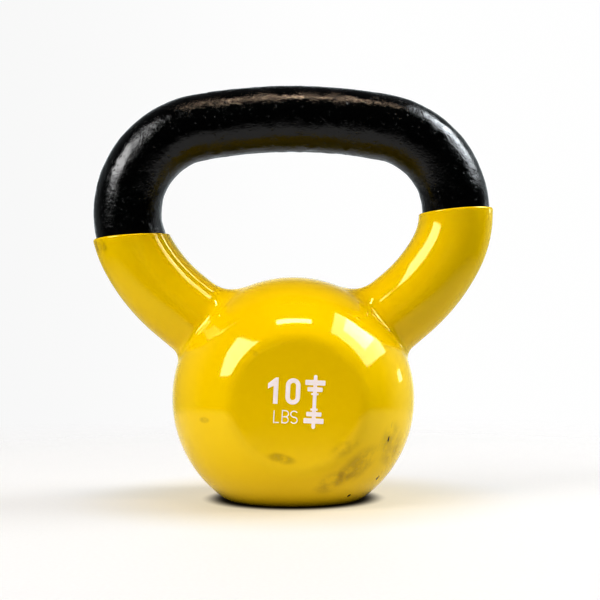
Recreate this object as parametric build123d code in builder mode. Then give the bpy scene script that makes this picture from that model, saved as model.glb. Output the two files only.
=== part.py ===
from build123d import *
import os
from math import acos, asin, atan2, cos, degrees, hypot, radians, sin, sqrt

# A 10 lb kettlebell: one iron casting, enamelled black all over, its ball and lower
# horns dipped in yellow vinyl, with a weight marking printed on the flat front.
#
# Frame: millimetres, +Z up, origin at the centre of the base that it stands on.
# The handle runs along X, and the printed front faces -Y.

os.makedirs("parts", exist_ok=True)

# ---- Coatings ----
enamel = 0.25  # black enamel over the whole casting
vinyl = 1.5  # vinyl jacket over the enamel
ink = 0.1  # screen print on the vinyl

# ---- Iron ball ----
ball_d = 97.0
face_d = 52.4  # the flat on the front, and its twin on the back
base_ring_d = 55.3  # the flat that it stands on
face_round = 6.3
base_round = 0.9

# ---- Iron handle, as its centreline and its thickness ----
hand_gap = 54.1  # from the top of the ball up to the underside of the grip
handle_half_span = 68.3  # furthest reach of the centreline to each side
crown_bend = 212.0  # slow curve of the grip
shoulder_bend = 36.3
shoulder_end = 118.4  # degrees round from straight up, where the shoulder eases into the horn
horn_bend = 70.3
bar_d = 26.8  # at the crown
neck_d = 27.5  # where a shoulder becomes a horn
horn_d = 28.8  # at the horn's buried end
horn_bury = 20.0  # how far a horn runs on inside the ball
root_round = 6.75  # hollow where a horn meets the ball

# ---- Dip line of the vinyl ----
dip_drop = 43.8  # below the top of the handle's centreline, at the middle
dip_tilt = 4.4  # degrees, rising towards +X
dip_nod = 2.5  # degrees, rising towards the front
lip_round = 0.9
sleeve_start = 6.0  # how far out of the ball the horns' own stretches of the vinyl begin

# ---- Screen print, from the centre of the front flat ----
print_tilt = 3.2  # degrees clockwise
digit_height = 10.3
digit_base = 0.1  # feet of the digits above the flat's centre
one_right = -7.4  # right side of the 1's stem
one_stem = 1.9
one_top = 1.15  # flat on top of the stem
flag_reach = 4.1  # from the right side of the stem to the flag's tip
flag_tip = (2.5, 4.6)  # top and foot of the tip, below the top of the digit
flag_root = 3.4  # where the flag's underside meets the stem, below the top
zero_width = 5.8
zero_middle = -1.7
zero_hole_width = 2.1
zero_wall = 1.85  # above and below the hole
letter_height = 5.2
letter_base = -7.3
letter_stroke = 0.5
letter_places = {"L": -8.6, "B": -5.4, "S": -2.1}  # left side of each letter's stroke line
letter_widths = {"L": 2.1, "B": 2.4, "S": 2.6}
letter_s_turn = 240  # degrees that each half of the S turns through
barbell_middle = (6.8, 1.6)
barbell_length = 21.0
barbell_rod = 1.5
barbell_discs = ((7.9, 2.1, 7.4), (6.0, 1.8, 4.8), (3.0, 0.9, 3.0))  # width, thickness, place
barbell_corner = 0.4

# ---- Places worked out from them ----
ball_r = ball_d / 2
face_out = sqrt(ball_r**2 - (face_d / 2) ** 2)  # iron face in front of the ball's centre
base_drop = sqrt(ball_r**2 - (base_ring_d / 2) ** 2)  # iron base below the ball's centre
coats = enamel + vinyl
ball_z = base_drop + coats
crown_z = ball_z + ball_r + hand_gap + bar_d / 2  # top of the handle's centreline
ball_centre = (0, 0, ball_z)


def outward(angle):
    """Direction that lies angle degrees round from straight up, towards +X, as (x, z)."""
    return sin(radians(angle)), cos(radians(angle))


# The shoulder's centre lies on the crown's radius where the two curves meet, and the
# horn's centre on the shoulder's last radius.
shoulder_x = handle_half_span - shoulder_bend
crown_end = degrees(asin(shoulder_x / (crown_bend - shoulder_bend)))
shoulder_z = crown_z - crown_bend + (crown_bend - shoulder_bend) * cos(radians(crown_end))
step_x, step_z = outward(shoulder_end)
horn_x = shoulder_x - (horn_bend - shoulder_bend) * step_x
horn_z = shoulder_z - (horn_bend - shoulder_bend) * step_z

# The horn leaves its curve where the tangent points at the height of the ball's centre.
horn_lift = horn_z - ball_z
horn_end = degrees(atan2(horn_x, horn_lift) + acos(-horn_bend / hypot(horn_x, horn_lift)))
root_x, root_z = outward(horn_end - 90)  # up along the horn, from the middle of the ball
buried_r = ball_r - horn_bury
buried_end = (buried_r * root_x, ball_z + buried_r * root_z)


def kettlebell_form(growth):
    """The whole outer form, with every surface moved outwards by growth."""
    with BuildPart() as form:
        # Half of the handle: round sections carried along the centreline, then mirrored
        with BuildLine(Plane.XZ) as centreline:
            crown = CenterArc((0, crown_z - crown_bend), crown_bend, 90, -crown_end)
            shoulder = JernArc(crown @ 1, crown % 1, shoulder_bend, crown_end - shoulder_end)
            horn = JernArc(shoulder @ 1, shoulder % 1, horn_bend, shoulder_end - horn_end)
            root = Line(horn @ 1, buried_end)
        stations = (
            (crown @ 0, crown % 0, bar_d),
            (crown @ 1, crown % 1, bar_d),
            (shoulder @ 1, shoulder % 1, neck_d),
            (root @ 1, root % 1, horn_d),
        )
        for place, heading, diameter in stations:
            with BuildSketch(Plane(origin=place, x_dir=(0, 1, 0), z_dir=heading)):
                Circle(diameter / 2 + growth)
        sweep(path=centreline.wires()[0], multisection=True)
        mirror(about=Plane.YZ)

        # Ball with its two faces, turned about the line through their centres
        with BuildSketch(Plane(origin=ball_centre, x_dir=(0, 1, 0), z_dir=(1, 0, 0))) as section:
            Circle(ball_r + growth)
            Rectangle(
                2 * (face_out + growth),
                ball_r + growth,
                align=(Align.CENTER, Align.MAX),
                mode=Mode.INTERSECT,
            )
            fillet(section.vertices().group_by(Axis.Y)[0], face_round + growth)
        revolve(axis=Axis(ball_centre, (0, 1, 0)))
        fillet(form.edges(Select.NEW), root_round - growth)

        # Base
        split(bisect_by=Plane.XY.offset(coats - growth), keep=Keep.TOP)
        fillet(form.edges().group_by(Axis.Z)[0], base_round + growth)
    return form.part


bare_form = kettlebell_form(0)
coated_form = kettlebell_form(enamel)
dipped_form = kettlebell_form(coats)

# ---- Iron casting: ball and handle in one pour ----
with BuildPart() as iron_casting:
    add(bare_form)
iron_casting.part.label = "iron_casting"
export_step(iron_casting.part, "parts/iron_casting.step")

# ---- Black enamel over the whole casting ----
with BuildPart() as enamel_coat:
    add(coated_form)
    add(bare_form, mode=Mode.SUBTRACT)
enamel_coat.part.label = "enamel_coat"
export_step(enamel_coat.part, "parts/enamel_coat.step")

# ---- Vinyl: everything below the dip line, with a rolled lip round each horn ----
dip_plane = Plane((0, 0, crown_z - dip_drop)).rotated((-dip_nod, -dip_tilt, 0))
with BuildPart() as whole_dip:
    add(dipped_form)
    split(bisect_by=dip_plane, keep=Keep.BOTTOM)
    lips = whole_dip.faces().filter_by(dip_plane)
    fillet(lips.edges(), lip_round)
    add(coated_form, mode=Mode.SUBTRACT)

# The one dip is held as the ball's jacket and a sleeve on each horn, which meet face to
# face on planes square to the horns.
sleeve_r = ball_r + coats + sleeve_start
right_cut = Plane(
    origin=(sleeve_r * root_x, 0, ball_z + sleeve_r * root_z),
    z_dir=(root_x, 0, root_z),
)
left_cut = Plane(
    origin=(-sleeve_r * root_x, 0, ball_z + sleeve_r * root_z),
    z_dir=(-root_x, 0, root_z),
)
with BuildPart() as vinyl_jacket:
    add(whole_dip.part)
    split(bisect_by=right_cut, keep=Keep.BOTTOM)
    split(bisect_by=left_cut, keep=Keep.BOTTOM)
vinyl_jacket.part.label = "vinyl_jacket"
export_step(vinyl_jacket.part, "parts/vinyl_jacket.step")

for side, cut in (("right", right_cut), ("left", left_cut)):
    with BuildPart() as sleeve:
        add(whole_dip.part)
        split(bisect_by=cut, keep=Keep.TOP)
    sleeve.part.label = f"vinyl_horn_{side}"
    export_step(sleeve.part, f"parts/vinyl_horn_{side}.step")

# ---- Screen print on the front flat ----
print_across, print_up = outward(90 + print_tilt), outward(print_tilt)
print_plane = Plane(
    origin=(0, -(face_out + coats), ball_z),
    x_dir=(print_across[0], 0, print_across[1]),
    z_dir=(0, -1, 0),
)

digit_top = digit_base + digit_height
with BuildPart() as weight_digits:
    with BuildSketch(print_plane):
        # 1: a stem with a slanting flag
        with BuildLine():
            Polyline(
                (one_right, digit_base),
                (one_right, digit_top),
                (one_right - one_top, digit_top),
                (one_right - flag_reach, digit_top - flag_tip[0]),
                (one_right - flag_reach, digit_top - flag_tip[1]),
                (one_right - one_stem, digit_top - flag_root),
                (one_right - one_stem, digit_base),
                close=True,
            )
        make_face()
        # 0: an upright oval with an oval hole
        with Locations((zero_middle, digit_base + digit_height / 2)):
            SlotOverall(digit_height, zero_width, rotation=90)
            SlotOverall(
                digit_height - 2 * zero_wall, zero_hole_width, rotation=90, mode=Mode.SUBTRACT
            )
    extrude(amount=ink)
weight_digits.part.label = "weight_digits"
export_step(weight_digits.part, "parts/weight_digits.step")


def letter_frame(letter):
    """Left, right, bottom and top of a letter's stroke line."""
    left = letter_places[letter]
    right = left + letter_widths[letter]
    bottom = letter_base + letter_stroke / 2
    top = letter_base + letter_height - letter_stroke / 2
    return left, right, bottom, top


with BuildPart() as unit_letters:
    with BuildSketch(print_plane):
        left, right, bottom, top = letter_frame("L")
        with BuildLine():
            Polyline((left, top), (left, bottom), (right, bottom))
        trace(line_width=letter_stroke)

        # B: a stem and two bowls, each with a round end
        left, right, bottom, top = letter_frame("B")
        waist = (bottom + top) / 2
        bowl = (top - bottom) / 4
        for low, high in ((bottom, waist), (waist, top)):
            with BuildLine():
                Polyline((right - bowl, high), (left, high), (left, low), (right - bowl, low))
                ThreePointArc((right - bowl, low), (right, low + bowl), (right - bowl, high))
            trace(line_width=letter_stroke)

        # S: two open ovals that join at the waist
        left, right, bottom, top = letter_frame("S")
        middle = (left + right) / 2
        waist = (bottom + top) / 2
        radii = ((right - left) / 2, (top - bottom) / 4)
        upper, lower = waist + radii[1], waist - radii[1]
        with BuildLine():
            EllipticalCenterArc(
                (middle, upper), *radii, start_angle=270 - letter_s_turn, arc_size=letter_s_turn
            )
            EllipticalCenterArc((middle, lower), *radii, start_angle=90, arc_size=-letter_s_turn)
        trace(line_width=letter_stroke)
    extrude(amount=ink)
unit_letters.part.label = "unit_letters"
export_step(unit_letters.part, "parts/unit_letters.step")

with BuildPart() as barbell_print:
    with BuildSketch(print_plane):
        with Locations(barbell_middle):
            SlotOverall(barbell_length, barbell_rod, rotation=90)
            for width, thickness, distance in barbell_discs:
                with Locations((0, distance), (0, -distance)):
                    RectangleRounded(width, thickness, barbell_corner)
    extrude(amount=ink)
barbell_print.part.label = "barbell_print"
export_step(barbell_print.part, "parts/barbell_print.step")
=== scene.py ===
"""A vinyl-dipped iron kettlebell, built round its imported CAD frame.

The casting's form is one field, a smooth union of the flat-faced ball and the bent
handle. Each coat is that form grown by its thickness and gridded along the handle, so
the enamel skin and the vinyl dip fit each other. Lengths are millimetres until a mesh
is made, and metres after that.
"""
from math import acos, asin, atan2, cos, hypot, pi, radians, sin, sqrt, tan

import bpy
import numpy as np
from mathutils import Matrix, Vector


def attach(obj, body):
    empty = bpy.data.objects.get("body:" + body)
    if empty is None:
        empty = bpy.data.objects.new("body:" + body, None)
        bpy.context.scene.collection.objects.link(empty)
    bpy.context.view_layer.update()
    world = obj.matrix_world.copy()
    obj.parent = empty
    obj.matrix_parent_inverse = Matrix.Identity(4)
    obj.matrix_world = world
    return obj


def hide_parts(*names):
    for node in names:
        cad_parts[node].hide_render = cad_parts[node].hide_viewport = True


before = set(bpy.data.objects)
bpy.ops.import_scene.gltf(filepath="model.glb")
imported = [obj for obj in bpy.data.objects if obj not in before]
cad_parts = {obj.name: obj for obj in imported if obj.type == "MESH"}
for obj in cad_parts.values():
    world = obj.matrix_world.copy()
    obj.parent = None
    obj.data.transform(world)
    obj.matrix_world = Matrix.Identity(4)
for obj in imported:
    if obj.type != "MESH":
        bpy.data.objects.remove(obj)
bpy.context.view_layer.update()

MM = 0.001
HALVINGS = 34  # of a search interval, which places a point to far under a micron

# ---------------------------------------------------------------- sizes of the casting
BALL_R = 48.5
FACE_R = 26.2  # the flats on the front and the back
RING_R = 27.65  # the flat that it stands on
HAND_GAP = 54.1  # from the top of the ball up to the underside of the grip
HALF_SPAN = 68.3
CROWN_BEND = 212.0
SHOULDER_BEND = 36.3
SHOULDER_END = radians(118.4)
HORN_BEND = 70.3
BAR_R = 13.4
NECK_R = 13.75
HORN_R = 14.4
BURIED_R = 28.5  # where the horns' centrelines end inside the ball
FACE_BLEND = 1.5  # width of the rounding where a flat meets the ball
BASE_BLEND = 0.25  # the same round the base of the bare casting
BASE_SOFTEN = 0.15  # how much wider that gets for each mm of coat

ENAMEL = 0.25
VINYL = 1.5
COATS = ENAMEL + VINYL

FACE_OUT = sqrt(BALL_R**2 - FACE_R**2)
BASE_DROP = sqrt(BALL_R**2 - RING_R**2)
BALL_Z = BASE_DROP + COATS
CROWN_Z = BALL_Z + BALL_R + HAND_GAP + BAR_R

# Dip line: its height over the middle, and how it rises to the right and to the front
DIP_Z = CROWN_Z - 43.8
DIP_TILT = radians(4.4)
DIP_NOD = radians(2.5)

# The handle's centreline: crown, shoulder and horn arcs, then straight for the ball
shoulder_x = HALF_SPAN - SHOULDER_BEND
crown_end = asin(shoulder_x / (CROWN_BEND - SHOULDER_BEND))
shoulder_z = CROWN_Z - CROWN_BEND + (CROWN_BEND - SHOULDER_BEND) * cos(crown_end)
horn_x = shoulder_x - (HORN_BEND - SHOULDER_BEND) * sin(SHOULDER_END)
horn_z = shoulder_z - (HORN_BEND - SHOULDER_BEND) * cos(SHOULDER_END)
horn_end = atan2(horn_x, horn_z - BALL_Z) + acos(-HORN_BEND / hypot(horn_x, horn_z - BALL_Z))
ARCS = (  # centre, radius, first and last angle round from straight up
    (0.0, CROWN_Z - CROWN_BEND, CROWN_BEND, 0.0, crown_end),
    (shoulder_x, shoulder_z, SHOULDER_BEND, crown_end, SHOULDER_END),
    (horn_x, horn_z, HORN_BEND, SHOULDER_END, horn_end),
)
ROOT_DIR = np.array([sin(horn_end - pi / 2), cos(horn_end - pi / 2)])  # up along the horn
ROOT_IN = np.array([-ROOT_DIR[1], ROOT_DIR[0]])  # square to it, towards the window
LEAVE_R = hypot(horn_x + HORN_BEND * sin(horn_end), horn_z + HORN_BEND * cos(horn_end) - BALL_Z)

ARC_LENGTHS = [radius * (last - first) for _, _, radius, first, last in ARCS]
ARC_STARTS = np.concatenate([[0.0], np.cumsum(ARC_LENGTHS)])
LEAVE_S = ARC_STARTS[3]
END_S = LEAVE_S + LEAVE_R - BURIED_R
TAPER = ([0.0, ARC_STARTS[1], ARC_STARTS[2], END_S], [BAR_R, BAR_R, NECK_R, HORN_R])


def nearest_on_handle(x, z):
    """Distance in the handle's plane to its centreline, the arc length there, and how far
    the point lies on the window side of it.

    On an arc the nearest point has the same bearing from the arc's centre, kept between
    the arc's ends; on the straight root it is the foot of the perpendicular.
    """
    q = np.abs(x)
    best = np.full(np.broadcast(x, z).shape, np.inf)
    length = np.zeros_like(best)
    near_q = np.zeros_like(best)
    near_z = np.zeros_like(best)
    for (cx, cz, radius, first, last), start in zip(ARCS, ARC_STARTS):
        bearing = np.clip(np.arctan2(q - cx, z - cz), first, last)
        px, pz = cx + radius * np.sin(bearing), cz + radius * np.cos(bearing)
        distance = np.hypot(q - px, z - pz)
        closer = distance < best
        best = np.where(closer, distance, best)
        length = np.where(closer, start + radius * (bearing - first), length)
        near_q = np.where(closer, px, near_q)
        near_z = np.where(closer, pz, near_z)
    out = np.clip(q * ROOT_DIR[0] + (z - BALL_Z) * ROOT_DIR[1], BURIED_R, LEAVE_R)
    px, pz = out * ROOT_DIR[0], BALL_Z + out * ROOT_DIR[1]
    distance = np.hypot(q - px, z - pz)
    closer = distance < best
    best = np.where(closer, distance, best)
    length = np.where(closer, LEAVE_S + LEAVE_R - out, length)
    near_q = np.where(closer, px, near_q)
    near_z = np.where(closer, pz, near_z)
    inward = (q - near_q) * ROOT_IN[0] + (z - near_z) * ROOT_IN[1]
    return best, length, inward


def tube_radius(length):
    """Radius of the bare handle at an arc length from the crown's middle, by straight steps."""
    return np.interp(length, *TAPER)


def soft_max(a, b, width):
    """The larger of a and b, rounded over a band: max + h^2 / (4 width), h = width - |a - b|."""
    h = np.maximum(width - np.abs(a - b), 0.0)
    return np.maximum(a, b) + h * h / (4 * width)


def form(x, y, z, growth, creases):
    """Signed distance-like field of the casting grown by growth, under zero inside.

    Ball: the soft max of a sphere, the two faces and the base. Handle: distance to the
    centreline less its radius. The two join by a soft min whose band is one width on the
    window side of a horn's root, another on its outer side and a third across its front.
    """
    radius = np.sqrt(x * x + y * y + (z - BALL_Z) ** 2)
    ball = soft_max(radius - BALL_R - growth, np.abs(y) - FACE_OUT - growth, FACE_BLEND)
    ball = soft_max(ball, COATS - growth - z, BASE_BLEND + BASE_SOFTEN * growth)
    flat, length, inward = nearest_on_handle(x, z)
    reach = np.sqrt(flat * flat + y * y)
    tube = reach - tube_radius(length) - growth
    side = np.clip(inward / np.maximum(reach, 1e-6), -1, 1)
    window, outer, front = creases
    band = front + (window - front) * np.maximum(side, 0) ** 2
    band = band + (outer - front) * np.maximum(-side, 0) ** 2
    return -soft_max(-ball, -tube, band)


def along(length):
    """Point of the right half's centreline at an arc length, and the outward normal there."""
    length = np.asarray(length, float)
    px = np.zeros_like(length)
    pz = np.zeros_like(length)
    nx = np.zeros_like(length)
    nz = np.zeros_like(length)
    for (cx, cz, radius, first, last), start, end in zip(ARCS, ARC_STARTS, ARC_STARTS[1:]):
        here = (length >= start) & (length <= end)
        bearing = first + (length - start) / radius
        px = np.where(here, cx + radius * np.sin(bearing), px)
        pz = np.where(here, cz + radius * np.cos(bearing), pz)
        nx = np.where(here, np.sin(bearing), nx)
        nz = np.where(here, np.cos(bearing), nz)
    here = length > LEAVE_S
    out = LEAVE_R - (length - LEAVE_S)
    px = np.where(here, out * ROOT_DIR[0], px)
    pz = np.where(here, BALL_Z + out * ROOT_DIR[1], pz)
    nx = np.where(here, -ROOT_IN[0], nx)
    nz = np.where(here, -ROOT_IN[1], nz)
    return px, pz, nx, nz


# The stations that cut the form across: square to the centreline down to the horn's
# root, where that plane passes through the hub in the window, then fanned about the hub.
HUB_Z = 118.0
ROOT_OUT = (HUB_Z - BALL_Z) * ROOT_DIR[1]  # distance of that plane from the ball's centre
ROOT_S = LEAVE_S + LEAVE_R - ROOT_OUT
ROOT_TURN = atan2(-ROOT_IN[0], ROOT_IN[1])  # the same plane's bearing round from straight down
SLIDE_FROM = 0.45  # share of that bearing at which the fan's centres start to slide


def square_stations(lengths, side):
    """Stations square to the centreline: centre x, z and outward x, z, on one side."""
    px, pz, nx, nz = along(lengths)
    return side * px, pz, side * nx, nz


def fan_stations(turns):
    """Stations through the hub at bearings from straight down, centred well inside the form.

    The centre slides from the foot of the ball's centre, in the middle, to the horn's
    centreline at the root.
    """
    dx, dz = np.sin(turns), -np.cos(turns)
    size = np.abs(turns)
    drop = HUB_Z - BALL_Z
    to_ball = drop * np.cos(turns)
    out = drop * np.tan(size) / (ROOT_DIR[0] + ROOT_DIR[1] * np.tan(size))
    to_horn = np.where(size > 1e-3, out * ROOT_DIR[0] / np.maximum(np.sin(size), 1e-3), drop)
    share = np.clip((size / ROOT_TURN - SLIDE_FROM) / (1 - SLIDE_FROM), 0, 1)
    share = share * share * (3 - 2 * share)
    reach = to_ball + (to_horn - to_ball) * share
    return reach * dx, HUB_Z + reach * dz, dx, dz


def surface(stations, around, growth, creases, reach=75.0):
    """Points where rays from each station's centre leave the grown form.

    A ray runs at an angle from the station's outward direction towards +Y, and bisection
    finds its last point inside.
    """
    shape = (len(stations[0]), len(around))
    columns = [np.asarray(v, float).reshape(len(v), -1) for v in stations]
    cx, cz, dx, dz = [np.broadcast_to(column, shape) for column in columns]
    ca, sa = np.cos(around)[None, :], np.sin(around)[None, :]
    low = np.zeros(cx.shape)
    high = np.full(cx.shape, reach)
    for _ in range(HALVINGS):
        middle = (low + high) / 2
        inside = form(cx + middle * ca * dx, middle * sa, cz + middle * ca * dz, growth, creases) < 0
        low = np.where(inside, middle, low)
        high = np.where(inside, high, middle)
    return np.stack([cx + low * ca * dx, low * sa, cz + low * ca * dz], axis=-1)


def normals(points, growth, creases, step=0.02):
    """Outward unit normals of the grown form, from central differences of its field."""
    x, y, z = np.moveaxis(points, -1, 0)
    gradient = np.stack(
        [
            form(x + step, y, z, growth, creases) - form(x - step, y, z, growth, creases),
            form(x, y + step, z, growth, creases) - form(x, y - step, z, growth, creases),
            form(x, y, z + step, growth, creases) - form(x, y, z - step, growth, creases),
        ],
        axis=-1,
    )
    return gradient / np.linalg.norm(gradient, axis=-1, keepdims=True)


def ring_grid(points):
    """Vertices and quads of a grid that closes on itself both ways."""
    rows, cols = points.shape[:2]
    r, c = np.meshgrid(np.arange(rows), np.arange(cols), indexing="ij")
    r2, c2 = (r + 1) % rows, (c + 1) % cols
    quads = np.stack([r * cols + c, r * cols + c2, r2 * cols + c2, r2 * cols + c], axis=-1)
    return points.reshape(-1, 3), quads.reshape(-1, 4)


def signed_volume(points, quads):
    """Volume inside a closed surface, negative if its faces point inwards."""
    a, b, c, d = [points[quads[:, i]] for i in range(4)]
    return float((np.cross(a, b) * c).sum() + (np.cross(a, c) * d).sum()) / 6


def make_piece(name, shells):
    """One object from closed shells: (grid of points in mm, does it face outwards)."""
    points, quads, count = [], [], 0
    for grid, outward in shells:
        p, q = ring_grid(grid)
        if (signed_volume(p, q) > 0) != outward:
            q = q[:, ::-1]
        points.append(p)
        quads.append(q + count)
        count += len(p)
    points, quads = np.concatenate(points) * MM, np.concatenate(quads)
    mesh = bpy.data.meshes.new(name)
    mesh.vertices.add(len(points))
    mesh.vertices.foreach_set("co", points.astype(np.float32).ravel())
    mesh.loops.add(quads.size)
    mesh.loops.foreach_set("vertex_index", quads.astype(np.int32).ravel())
    mesh.polygons.add(len(quads))
    mesh.polygons.foreach_set("loop_start", (np.arange(len(quads)) * 4).astype(np.int32))
    mesh.update(calc_edges=True)
    mesh.validate()
    mesh.polygons.foreach_set("use_smooth", np.ones(len(quads), bool))
    piece = bpy.data.objects.new(name, mesh)
    bpy.context.scene.collection.objects.link(piece)
    return piece


def lattice_noise(points, size, seed):
    """Smooth random field over space, about -1 to 1: each lattice corner gets a hashed
    value, and the eight round a point are mixed by eased fractions."""
    p = points / size
    cell = np.floor(p).astype(np.int64)
    f = p - cell
    f = f * f * f * (f * (6 * f - 15) + 10)
    total = np.zeros(p.shape[:-1])
    for corner in range(8):
        offset = np.array([corner & 1, corner >> 1 & 1, corner >> 2 & 1])
        k = cell + offset
        h = (k[..., 0] * 73856093) ^ (k[..., 1] * 19349663) ^ (k[..., 2] * 83492791) ^ (seed * 2654435761)
        h = (h ^ (h >> 13)) * 1274126177 & 0xFFFFFFFF
        h = (h ^ (h >> 16)) & 0xFFFF
        weight = np.prod(np.where(offset, f, 1 - f), axis=-1)
        total += weight * (h / 32767.5 - 1)
    return total


# ---------------------------------------------------------------- enamel skin
ENAMEL_CREASES = (6.0, 4.0, 3.5)
ENAMEL_AROUND = 160
BARE_STEP = 0.56  # grid step along the bare handle
HIDDEN_STEP = 3.0
INNER_STEPS = (3.0, 4.0)  # the same two for the inner face
BARE_END = ARC_STARTS[1] + SHOULDER_BEND * radians(98) + 4  # past the dip line
FAN_STEP = 1.3  # degrees between fanned stations for each mm of the hidden step
CAST_BUMPS = ((0.055, 1.7), (0.05, 3.1), (0.09, 8.0))  # height and width
SEAM_HEIGHT = 0.12
SEAM_WIDTH = 0.9
FLASH_LUMPS = ((8.0, 145.3), (22.5, 144.4), (-31.0, 142.6))  # x, z under the crown
FLASH_Y = -5.5
FLASH_HEIGHT = 0.45
FLASH_SPREAD = (3.6, 4.5, 3.0)  # half widths squared, along x, y and z
BUMPS_FROM = -0.5  # height over the dip line at which the bumps start
BUMPS_RISE = 2.0  # height over which they come to their full size


def dip_height(x, y):
    """Height of the dip line's plane."""
    return DIP_Z + (x * np.tan(DIP_TILT) - y * np.tan(DIP_NOD)) / cos(DIP_NOD)


def whole_ring(bare_step, hidden_step):
    """Stations right round the casting, close together on the bare handle."""
    bare = np.linspace(0, BARE_END, int(BARE_END / bare_step), endpoint=False)
    hidden = np.linspace(BARE_END, ROOT_S, int((ROOT_S - BARE_END) / hidden_step), endpoint=False)
    half = np.concatenate([bare, hidden])
    turns = np.linspace(ROOT_TURN, -ROOT_TURN, int(2 * ROOT_TURN / radians(hidden_step * FAN_STEP)))
    right = square_stations(half, 1)
    fan = fan_stations(turns)
    left = square_stations(half[:0:-1], -1)
    return [np.concatenate(parts) for parts in zip(right, fan, left)]


def cast_skin():
    """Sand-cast iron under brushed enamel: small bumps at three sizes, lumps of flash under
    the crown as Gaussian mounds, and the mould's parting line as a low ragged ridge inside
    and outside the handle."""
    around = np.linspace(0, 2 * pi, ENAMEL_AROUND, endpoint=False)
    grid = surface(whole_ring(BARE_STEP, HIDDEN_STEP), around, ENAMEL, ENAMEL_CREASES)
    normal = normals(grid, ENAMEL, ENAMEL_CREASES)
    height = np.zeros(grid.shape[:2])
    for seed, (rise, size) in enumerate(CAST_BUMPS, 1):
        height += rise * lattice_noise(grid, size, seed)
    ragged = SEAM_HEIGHT + SEAM_HEIGHT * lattice_noise(grid, 4.0, 4)
    seam = np.exp(-((grid[..., 1] / SEAM_WIDTH) ** 2)) * ragged
    wide, deep, tall = FLASH_SPREAD
    for x, z in FLASH_LUMPS:
        apart = (grid[..., 0] - x) ** 2 / wide + (grid[..., 1] - FLASH_Y) ** 2 / deep
        height += FLASH_HEIGHT * np.exp(-apart - (grid[..., 2] - z) ** 2 / tall)
    above = grid[..., 2] - dip_height(grid[..., 0], grid[..., 1])
    share = np.clip((above - BUMPS_FROM) / BUMPS_RISE, 0, 1)
    outer = grid + normal * ((height + seam) * share)[..., None]
    inner = surface(whole_ring(*INNER_STEPS), around[::2], 0.0, ENAMEL_CREASES)
    return outer, inner


outer_skin, inner_skin = cast_skin()
enamel = make_piece("enamelled_skin", [(outer_skin, True), (inner_skin, False)])
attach(enamel, "root")
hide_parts("enamel_coat")

# ---------------------------------------------------------------- vinyl dip
VINYL_CREASES = (9.0, 4.0, 2.2)
VINYL_AROUND = 248
LIP_RUN = 10.0  # stretch below a lip over which stations lean from the dip line to square
LIP_LIMIT = ARC_STARTS[2] + 12  # how far down a horn a lip is looked for
LIP_ROWS = 13  # angles round the edge of a lip, both ends counted
LIP_PROUD = 0.12  # how far the edge stands out past the skin below it
LIP_DEPTH = 1.1
LIP_SQUARE = 0.8  # power of the sine and cosine, under 1 to square the oval
FAN_EASE = 1.6  # power over 1, to crowd the rows at the roots


def lip_lengths(around, side):
    """Arc length at which the horn's surface meets the dip plane, for each angle round."""
    low = np.full(around.shape, ARC_STARTS[1])
    high = np.full(around.shape, LIP_LIMIT)
    for _ in range(HALVINGS):
        middle = (low + high) / 2
        px, pz, nx, nz = along(middle)
        radius = tube_radius(middle) + COATS
        x = side * (px + radius * np.cos(around) * nx)
        y = radius * np.sin(around)
        z = pz + radius * np.cos(around) * nz
        above = z > dip_height(x, y)
        low = np.where(above, middle, low)
        high = np.where(above, high, middle)
    return low


def horn_rows(around, side, step):
    """Rows from a lip down to the root, leaning to the dip line near the lip."""
    lip = lip_lengths(around, side)
    start = lip.mean() + LIP_RUN
    lean = np.linspace(0, 1, int(LIP_RUN / step), endpoint=False)
    rows = lip[None, :] + (start - lip)[None, :] * lean[:, None]
    plain = np.linspace(start, ROOT_S, int((ROOT_S - start) / step))
    rows = np.concatenate([rows, np.repeat(plain[:, None], len(around), axis=1)])
    px, pz, nx, nz = along(rows)
    return [side * px, pz, side * nx, nz]


def fan_rows(around, count):
    """Rows across the ball, closest together at the two roots."""
    t = np.linspace(-1, 1, count)
    turns = ROOT_TURN * np.sign(t) * (1 - (1 - np.abs(t)) ** FAN_EASE)
    return [np.repeat(v[:, None], len(around), axis=1) for v in fan_stations(turns)]


def dip_skin(around, growth, creases, horn_step, fan_count, lip_drop):
    """The form below the dip line, from the left lip over the ball to the right lip. It
    leaves out lip_drop rows at each lip, where the rounded edge goes."""
    left = horn_rows(around, -1, horn_step)
    right = horn_rows(around, 1, horn_step)
    fan = fan_rows(around, fan_count)
    stations = [
        np.concatenate([a[lip_drop:], b[1:-1], c[lip_drop:][::-1]])
        for a, b, c in zip(left, fan, right)
    ]
    return surface(stations, around, growth, creases)


def lip_roll(around, side):
    """The rounded edge of the dip, from its outer skin over to the enamel: half of a fat
    oval whose top is the dip line."""
    lip = lip_lengths(around, side)
    turn = np.linspace(0, pi, LIP_ROWS)[1:-1][:, None]
    half = (VINYL + LIP_PROUD) / 2
    height = ENAMEL + half + half * np.sign(np.cos(turn)) * np.abs(np.cos(turn)) ** LIP_SQUARE
    drop = LIP_DEPTH * (1 - np.sin(turn) ** LIP_SQUARE)
    lengths = lip[None, :] + drop
    px, pz, nx, nz = along(lengths)
    radius = tube_radius(lengths) + height
    c, s = np.cos(around)[None, :], np.sin(around)[None, :]
    return np.stack([side * (px + radius * c * nx), radius * s, pz + radius * c * nz], axis=-1)


def vinyl_shell():
    """The dip as one closed skin: outer face, right lip, inner face back, left lip."""
    around = np.linspace(0, 2 * pi, VINYL_AROUND, endpoint=False)
    outer = dip_skin(around, COATS, VINYL_CREASES, horn_step=0.85, fan_count=150, lip_drop=2)
    inner = dip_skin(around, ENAMEL, ENAMEL_CREASES, horn_step=3.0, fan_count=28, lip_drop=1)
    right = lip_roll(around, 1)
    left = lip_roll(around, -1)
    return np.concatenate([outer, right, inner[::-1], left[::-1]])


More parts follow.
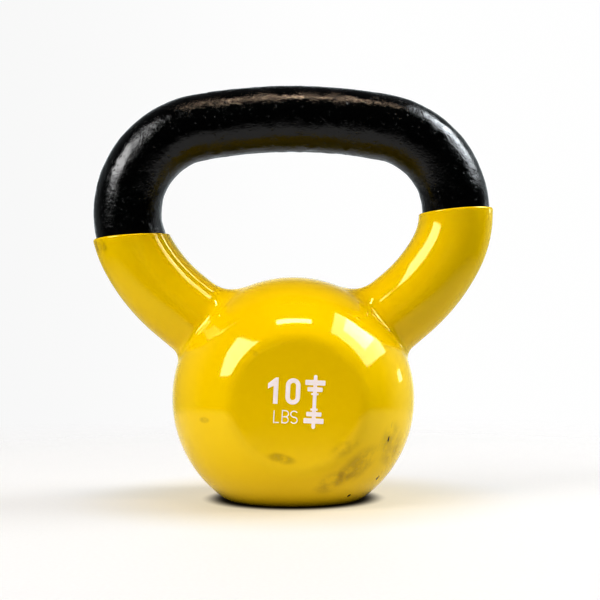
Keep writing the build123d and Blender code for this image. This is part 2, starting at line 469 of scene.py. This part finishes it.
vinyl = make_piece("vinyl_dip", [(vinyl_shell(), True)])
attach(vinyl, "root")
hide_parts("vinyl_jacket", "vinyl_horn_left", "vinyl_horn_right")


# ---------------------------------------------------------------- materials
def link(tree, source, target):
    """Join one socket to another."""
    tree.links.new(source, target)


def ramp(tree, value, low, high, bottom=0.0, top=1.0):
    """A smooth step of a value from bottom at low to top at high."""
    node = tree.nodes.new("ShaderNodeMapRange")
    node.interpolation_type = "SMOOTHSTEP"
    for socket, number in (("From Min", low), ("From Max", high), ("To Min", bottom), ("To Max", top)):
        node.inputs[socket].default_value = number
    link(tree, value, node.inputs["Value"])
    return node.outputs["Result"]


def sums(tree, operation, first, second):
    """A Math node on two sockets or numbers."""
    node = tree.nodes.new("ShaderNodeMath")
    node.operation = operation
    for socket, item in zip(node.inputs, (first, second)):
        if isinstance(item, (int, float)):
            socket.default_value = item
        else:
            link(tree, item, socket)
    return node.outputs["Value"]


def new_material(name, **inputs):
    """A Principled material with its sockets set, its object coordinates and its shader."""
    material = bpy.data.materials.new(name)
    material.use_nodes = True
    tree = material.node_tree
    shader = tree.nodes["Principled BSDF"]
    for socket, value in inputs.items():
        shader.inputs[socket.replace("_", " ")].default_value = value
    place = tree.nodes.new("ShaderNodeTexCoord").outputs["Object"]
    return material, tree, place, shader


def stretched(tree, place, centre, size, turn=0.0):
    """Object coordinates measured in sizes (mm) from a centre, turned about Y by degrees."""
    node = tree.nodes.new("ShaderNodeMapping")
    node.vector_type = "TEXTURE"
    node.inputs["Location"].default_value = [v * MM for v in centre]
    node.inputs["Rotation"].default_value = (0, radians(turn), 0)
    node.inputs["Scale"].default_value = [v * MM for v in size]
    link(tree, place, node.inputs["Vector"])
    return node.outputs["Vector"]


def noise(tree, place, size, detail=2.0, rough=0.5):
    """Noise from 0 to 1 with lumps about size mm across."""
    node = tree.nodes.new("ShaderNodeTexNoise")
    node.inputs["Scale"].default_value = 1 / (size * MM)
    node.inputs["Detail"].default_value = detail
    node.inputs["Roughness"].default_value = rough
    link(tree, place, node.inputs["Vector"])
    return node.outputs["Fac"]


def blot(tree, place, centre, size, turn=0.0, core=0.4):
    """1 in the middle of an oval about a centre, falling to 0 at its rim."""
    length = tree.nodes.new("ShaderNodeVectorMath")
    length.operation = "LENGTH"
    link(tree, stretched(tree, place, centre, size, turn), length.inputs[0])
    return ramp(tree, length.outputs["Value"], core, 1.0, 1.0, 0.0)


def tint(tree, amount, under, over):
    """Colour from under to over as amount goes from 0 to 1."""
    node = tree.nodes.new("ShaderNodeMix")
    node.data_type = "RGBA"
    link(tree, amount, node.inputs[0])
    for socket, item in ((node.inputs[6], under), (node.inputs[7], over)):
        if isinstance(item, tuple):
            socket.default_value = (*item, 1)
        else:
            link(tree, item, socket)
    return node.outputs[2]


def relief(tree, shader, height, depth):
    """Bump a shader's normal by a height from 0 to 1 that stands for depth mm."""
    node = tree.nodes.new("ShaderNodeBump")
    node.inputs["Strength"].default_value = 1.0
    node.inputs["Distance"].default_value = depth * MM
    link(tree, height, node.inputs["Height"])
    link(tree, node.outputs["Normal"], shader.inputs["Normal"])


def together(tree, parts):
    """The sum of several masks."""
    total = parts[0]
    for part in parts[1:]:
        total = sums(tree, "ADD", total, part)
    return total


def dress(piece, material):
    """Give a piece one material all over."""
    piece.data.materials.clear()
    piece.data.materials.append(material)


SMUDGES = (  # centre and half sizes in mm, lean in degrees, strength
    ((24, -38, 17), (14, 14, 6), -40, 0.9),
    ((14, -38, 11), (10, 12, 5), -30, 0.8),
    ((38, -28, 24), (7, 16, 12), 0, 0.8),
    ((19, -43, 25), (9, 5, 4), -25, 0.5),
    ((-6, -43, 21), (7, 4, 2.6), 12, 0.9),
    ((-16.5, -42.5, 62), (2.6, 4, 1.4), 20, 0.9),
    ((-36, -34.5, 35.5), (3, 5, 1.6), 0, 0.7),
    ((-79, -9, 104.5), (4.5, 8, 4.0), 10, 1.3),
    ((24, 38, 60), (12, 14, 6), 35, 0.7),
    ((-20, 42, 24), (10, 8, 5), -20, 0.7),
)
NICKS = (  # centre and half sizes in mm, lean in degrees
    ((33, -21.7, 10.5), (0.5, 1.2, 1.5), 35),
    ((21.2, -25.6, 4.2), (1.1, 1.6, 0.5), -40),
    ((36.6, -31, 27), (0.35, 1.5, 1.6), 12),
    ((38.5, -27.5, 22), (0.35, 1.5, 1.2), 20),
    ((-31, 30, 24), (0.5, 1.5, 1.3), 30),
)
HAIR_SIZE = (0.5, 3, 8)  # width, depth and length of the hairline scratches
HAIR_LEAN = 8
SCRATCHED = ((37, -30, 25), (7, 14, 13))  # centre and half sizes of the scratched patch


def vinyl_look():
    """Glossy yellow plastisol: a faintly wavy skin, olive grime rubbed in, hairline
    scratches and a few nicks through to the enamel."""
    material, tree, place, shader = new_material("yellow_vinyl", IOR=1.5)
    blots = [
        sums(tree, "MULTIPLY", blot(tree, place, centre, size, turn), strength)
        for centre, size, turn, strength in SMUDGES
    ]
    broken = ramp(tree, noise(tree, place, 6.0, 4.0, 0.6), 0.32, 0.62)
    grime = sums(tree, "MULTIPLY", together(tree, blots), broken)
    nicks = together(tree, [blot(tree, place, centre, size, turn, 0.6) for centre, size, turn in NICKS])
    nicks = sums(tree, "MULTIPLY", nicks, ramp(tree, noise(tree, place, 0.7), 0.35, 0.45))
    streaked = stretched(tree, place, (0, 0, 0), HAIR_SIZE, HAIR_LEAN)  # one unit to a hair
    hairs = ramp(tree, noise(tree, streaked, 1 / MM, 3.0), 0.63, 0.72)
    scratched = blot(tree, place, *SCRATCHED)
    hairs = sums(tree, "MULTIPLY", hairs, scratched)
    cloud = noise(tree, place, 26.0, 3.0)
    colour = tint(tree, cloud, (0.75, 0.545, 0.0), (0.79, 0.58, 0.0))
    colour = tint(tree, sums(tree, "MULTIPLY", grime, 0.55), colour, (0.36, 0.24, 0.01))
    colour = tint(tree, sums(tree, "MULTIPLY", hairs, 0.6), colour, (0.15, 0.11, 0.01))
    colour = tint(tree, nicks, colour, (0.004, 0.004, 0.003))
    link(tree, colour, shader.inputs["Base Color"])
    dull = sums(tree, "MULTIPLY", sums(tree, "ADD", grime, hairs), 0.25)
    sheen = ramp(tree, noise(tree, place, 9.0, 4.0), 0.3, 0.7, 0.05, 0.09)
    link(tree, sums(tree, "ADD", sheen, dull), shader.inputs["Roughness"])
    swell = noise(tree, place, 11.0, 1.0)
    peel = sums(tree, "MULTIPLY", noise(tree, place, 2.2, 1.0), 0.06)
    cut = sums(tree, "MULTIPLY", nicks, -1.5)
    relief(tree, shader, together(tree, [swell, peel, cut]), 0.09)
    return material


def enamel_look():
    """Black gloss brushed over sand-cast iron: the sand's grain shows through, and here
    and there a fleck is worn to grey."""
    material, tree, place, shader = new_material("black_enamel", IOR=1.66)
    fleck = ramp(tree, noise(tree, place, 1.1, 3.0, 0.7), 0.72, 0.78)
    worn = ramp(tree, noise(tree, place, 14.0), 0.45, 0.65)
    fleck = sums(tree, "MULTIPLY", fleck, worn)
    colour = tint(tree, fleck, (0.002, 0.002, 0.002), (0.05, 0.048, 0.045))
    link(tree, colour, shader.inputs["Base Color"])
    matt = ramp(tree, noise(tree, place, 1.5, 4.0, 0.65), 0.46, 0.6, 0.06, 0.18)
    link(tree, matt, shader.inputs["Roughness"])
    rougher = ramp(tree, noise(tree, place, 10.0), 0.4, 0.62, 0.55, 1.5)
    grain = sums(tree, "MULTIPLY", noise(tree, place, 1.0, 3.0, 0.66), rougher)
    pits = sums(tree, "MULTIPLY", ramp(tree, noise(tree, place, 1.8, 2.0), 0.63, 0.73), -0.6)
    relief(tree, shader, together(tree, [grain, pits]), 0.17)
    return material


def iron_look():
    """Grey iron as it left the sand: dull, dark and gritty, browned in patches."""
    material, tree, place, shader = new_material("raw_iron", Metallic=0.8)
    rust = ramp(tree, noise(tree, place, 12.0, 5.0), 0.5, 0.7)
    link(tree, tint(tree, rust, (0.10, 0.095, 0.09), (0.12, 0.06, 0.03)), shader.inputs["Base Color"])
    link(tree, ramp(tree, noise(tree, place, 3.0, 3.0), 0.3, 0.7, 0.5, 0.7), shader.inputs["Roughness"])
    relief(tree, shader, noise(tree, place, 0.9, 3.0), 0.12)
    return material


def ink_look():
    """Screen-printed white ink, a little thin and pinholed."""
    material, tree, place, shader = new_material("white_ink")
    thin = ramp(tree, noise(tree, place, 0.8, 3.0, 0.6), 0.66, 0.76, 0.0, 0.5)
    link(tree, tint(tree, thin, (0.87, 0.79, 0.79), (0.75, 0.56, 0.16)), shader.inputs["Base Color"])
    link(tree, ramp(tree, noise(tree, place, 2.0), 0.3, 0.7, 0.35, 0.5), shader.inputs["Roughness"])
    return material


dress(vinyl, vinyl_look())
dress(enamel, enamel_look())
dress(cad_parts["iron_casting"], iron_look())
ink = ink_look()
for node in ("weight_digits", "unit_letters", "barbell_print"):
    dress(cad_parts[node], ink)

# ---------------------------------------------------------------- floor, light, camera
scene = bpy.context.scene
scene.view_settings.view_transform = "Standard"
scene.view_settings.gamma = 0.667  # a contrasty print: dark reflections sink to black


def studio_world():
    """A white room behind the object and a dark one in front of it, plain white to look at."""
    world = bpy.data.worlds.new("studio")
    scene.world = world
    world.use_nodes = True
    tree = world.node_tree
    nodes = tree.nodes
    nodes.clear()
    place = nodes.new("ShaderNodeTexCoord")
    split = nodes.new("ShaderNodeSeparateXYZ")
    link(tree, place.outputs["Generated"], split.inputs["Vector"])
    back = ramp(tree, split.outputs["Y"], 0.0, 0.5)
    high = ramp(tree, split.outputs["Z"], 0.35, 0.85, 1.0, 0.15)
    right = ramp(tree, split.outputs["X"], -0.2, 0.6, 0.4, 0.7)
    glow = sums(tree, "MULTIPLY", sums(tree, "MULTIPLY", back, high), right)
    glow = sums(tree, "ADD", glow, ramp(tree, split.outputs["Y"], 0.84, 0.97, 0.0, 0.6))
    room = nodes.new("ShaderNodeBackground")
    room.inputs["Color"].default_value = (0.9, 0.97, 1.0, 1)
    link(tree, sums(tree, "ADD", glow, 0.015), room.inputs["Strength"])
    paper = nodes.new("ShaderNodeBackground")
    paper.inputs["Color"].default_value = (1, 1, 1, 1)
    lit = ramp(tree, split.outputs["X"], -0.22, 0.1, 0.955, 0.998)
    link(tree, lit, paper.inputs["Strength"])
    path = nodes.new("ShaderNodeLightPath")
    mix = nodes.new("ShaderNodeMixShader")
    link(tree, path.outputs["Is Camera Ray"], mix.inputs["Fac"])
    link(tree, room.outputs["Background"], mix.inputs[1])
    link(tree, paper.outputs["Background"], mix.inputs[2])
    out = nodes.new("ShaderNodeOutputWorld")
    link(tree, mix.outputs["Shader"], out.inputs["Surface"])


def pale_floor():
    """A sheet of pale card that fades out all round, so no horizon shows. It glows faintly,
    and it carries a painted shadow close in under the ball and a painted warm shade round that."""
    mesh = bpy.data.meshes.new("floor")
    mesh.from_pydata([(-2, -2, 0), (2, -2, 0), (2, 2, 0), (-2, 2, 0)], [], [(0, 1, 2, 3)])
    floor = bpy.data.objects.new("floor", mesh)
    scene.collection.objects.link(floor)
    material, tree, place, shader = new_material("pale_floor", Roughness=0.7, Emission_Strength=3.05)
    nodes = tree.nodes
    length = nodes.new("ShaderNodeVectorMath")
    length.operation = "LENGTH"
    link(tree, place, length.inputs[0])
    fibre = noise(tree, place, 1.5)
    card = tint(tree, fibre, (0.203, 0.201, 0.2), (0.213, 0.211, 0.21))
    # painted shade: a soft, warm, darker ring on the floor round the ball, standing in for its shadow and
    # the yellow light bounced off it
    painted_warm_shade = ramp(tree, length.outputs["Value"], 0.04, 0.10)
    # painted shadow: the floor's colour, and so its glow, falls to near black close in under the ball's
    # overhang
    under = ramp(tree, length.outputs["Value"], 0.029, 0.039)
    card = tint(tree, painted_warm_shade, (0.198, 0.184, 0.158), card)
    # the painted contact shadow goes in over the card and the painted warm shade
    card = tint(tree, under, (0.002, 0.001, 0.0), card)
    # the same colour, painted shade and all, sets the floor's glow as well as its base colour
    link(tree, card, shader.inputs["Base Color"])
    link(tree, card, shader.inputs["Emission Color"])
    clear = nodes.new("ShaderNodeBsdfTransparent")
    mix = nodes.new("ShaderNodeMixShader")
    link(tree, ramp(tree, length.outputs["Value"], 0.19, 0.42), mix.inputs["Fac"])
    link(tree, shader.outputs["BSDF"], mix.inputs[1])
    link(tree, clear.outputs["BSDF"], mix.inputs[2])
    link(tree, mix.outputs["Shader"], nodes["Material Output"].inputs["Surface"])
    dress(floor, material)


studio_world()
pale_floor()

AIM_X, AIM_Z = 2.98 * MM, 82.25 * MM
CAMERA_DISTANCE = 0.6
CAMERA_TURN = radians(-2.0)
CAMERA_ROLL = radians(0.3)
VIEW_WIDTH = 0.2497  # metres that the view takes in at the object
SENSOR_MM = 36

camera_data = bpy.data.cameras.new("camera")
camera_data.sensor_width = SENSOR_MM
camera_data.lens = SENSOR_MM * CAMERA_DISTANCE / VIEW_WIDTH
camera_data.clip_start = 0.05
camera = bpy.data.objects.new("camera", camera_data)
scene.collection.objects.link(camera)
camera.rotation_euler = (pi / 2, CAMERA_ROLL, CAMERA_TURN)
camera.location = (
    AIM_X * cos(CAMERA_TURN) + CAMERA_DISTANCE * sin(CAMERA_TURN),
    AIM_X * sin(CAMERA_TURN) - CAMERA_DISTANCE * cos(CAMERA_TURN),
    AIM_Z,
)
scene.camera = camera


COOL = (0.93, 0.97, 1.0)
WARM = (1.0, 0.8, 0.62)
LIT_MIDDLE = Vector((0, 0, 0.08))  # what the lights face


def softbox(name, bearing, rise, width, height, radiance, color=(1, 1, 1), distance=1.5):
    """An area light that faces the middle of the object. Bearing is in degrees round from
    the front towards the right, rise is degrees up, and width and height are degrees across."""
    bearing, rise = radians(bearing), radians(rise)
    aim = Vector((sin(bearing) * cos(rise), -cos(bearing) * cos(rise), sin(rise)))
    data = bpy.data.lights.new(name, "AREA")
    data.shape = "RECTANGLE"
    data.size = 2 * distance * tan(radians(width / 2))
    data.size_y = 2 * distance * tan(radians(height / 2))
    data.energy = radiance * pi * data.size * data.size_y
    data.color = color
    light = bpy.data.objects.new(name, data)
    light.visible_camera = False
    scene.collection.objects.link(light)
    light.location = LIT_MIDDLE + aim * distance
    light.rotation_euler = aim.to_track_quat("Z", "Y").to_euler()
    return light


softbox("right_softbox", 95, 42, 36, 39, 6.3, COOL)
softbox("right_core", 98, 43, 21, 21, 7, COOL, distance=1.4)
softbox("left_softbox", -62, 33, 30, 33, 9)
softbox("ceiling_light", 2, 79, 26, 5.5, 23, WARM)
softbox("side_strip", 121, 6, 8, 5, 4, COOL)
for name, bearing, rise, width, height, radiance in (
    ("soft_fill", -35, 20, 70, 40, 0.15),
    ("low_fill", 14, 9, 110, 14, 2.4),
):
    softbox(name, bearing, rise, width, height, radiance).visible_glossy = False
